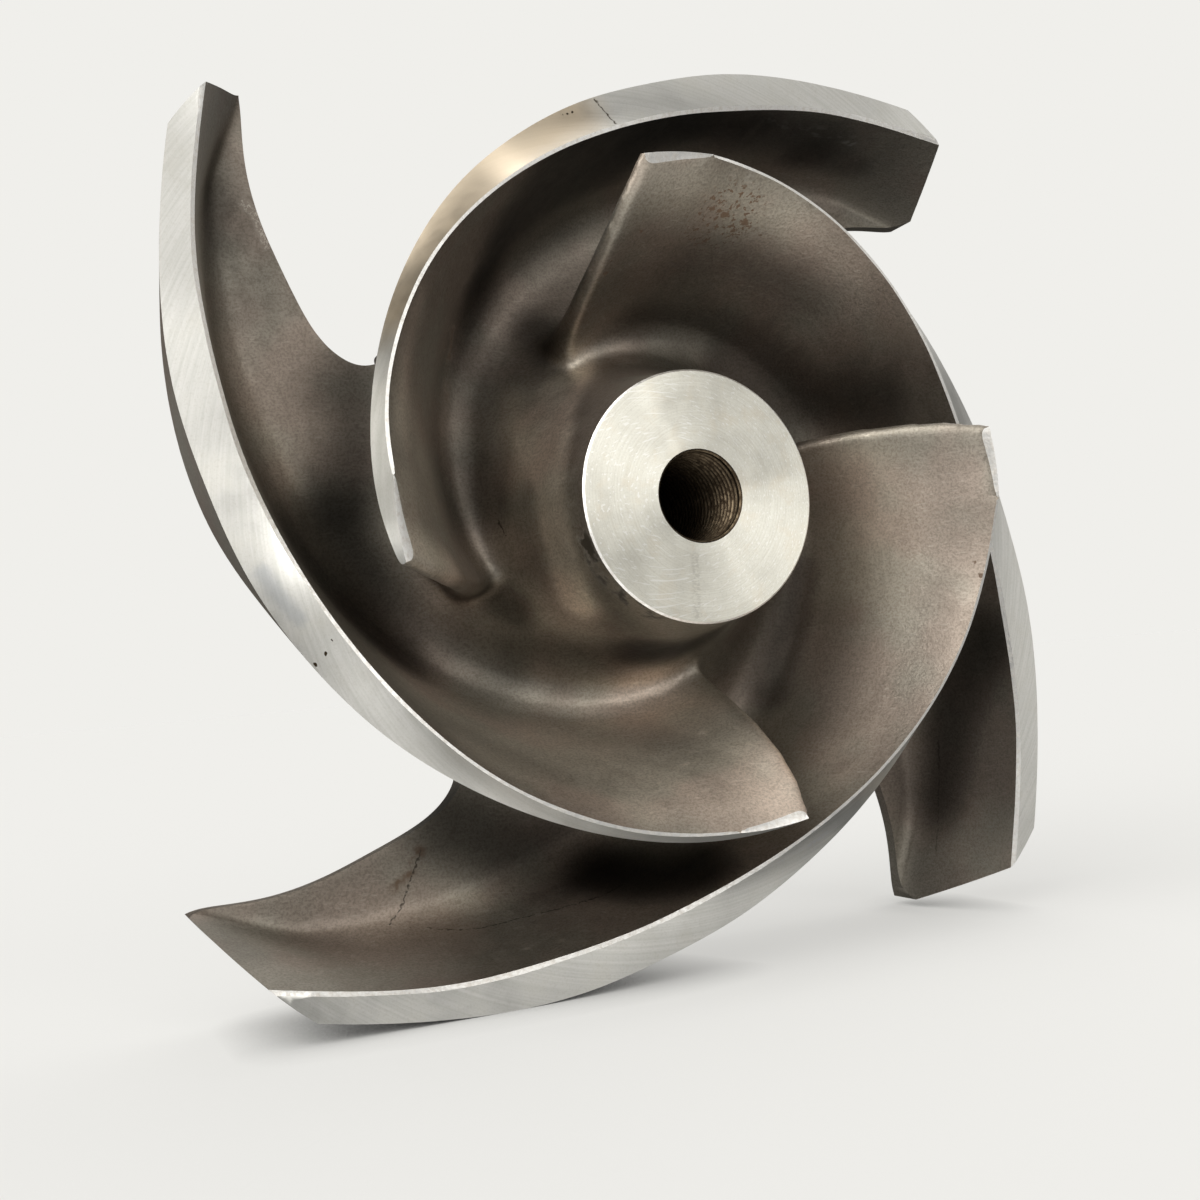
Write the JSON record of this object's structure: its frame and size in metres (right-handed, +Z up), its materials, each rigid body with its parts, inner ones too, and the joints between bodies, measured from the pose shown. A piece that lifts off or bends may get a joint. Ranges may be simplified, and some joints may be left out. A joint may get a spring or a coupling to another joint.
{
  "type": "pump impeller",
  "caption": "Semi-open centrifugal pump impeller: swept twisted vanes on a scalloped back shroud, with a bored hub, that throws liquid from its eye to its rim",
  "frame": {"origin": "on the hub's flat rear seat, 18 mm straight below the shaft axis", "axes": "+Y along the shaft axis from the suction side to the rear seat, +Z up, the shaft axis level, as the part is pictured"},
  "size_m": [0.2028, 0.072, 0.2028],
  "materials": {
    "cast_stainless": "shot-blasted stainless casting, bright where it is machined"
  },
  "bodies": {
    "root": {"impeller": "cast_stainless"}
  },
  "joints": []
}
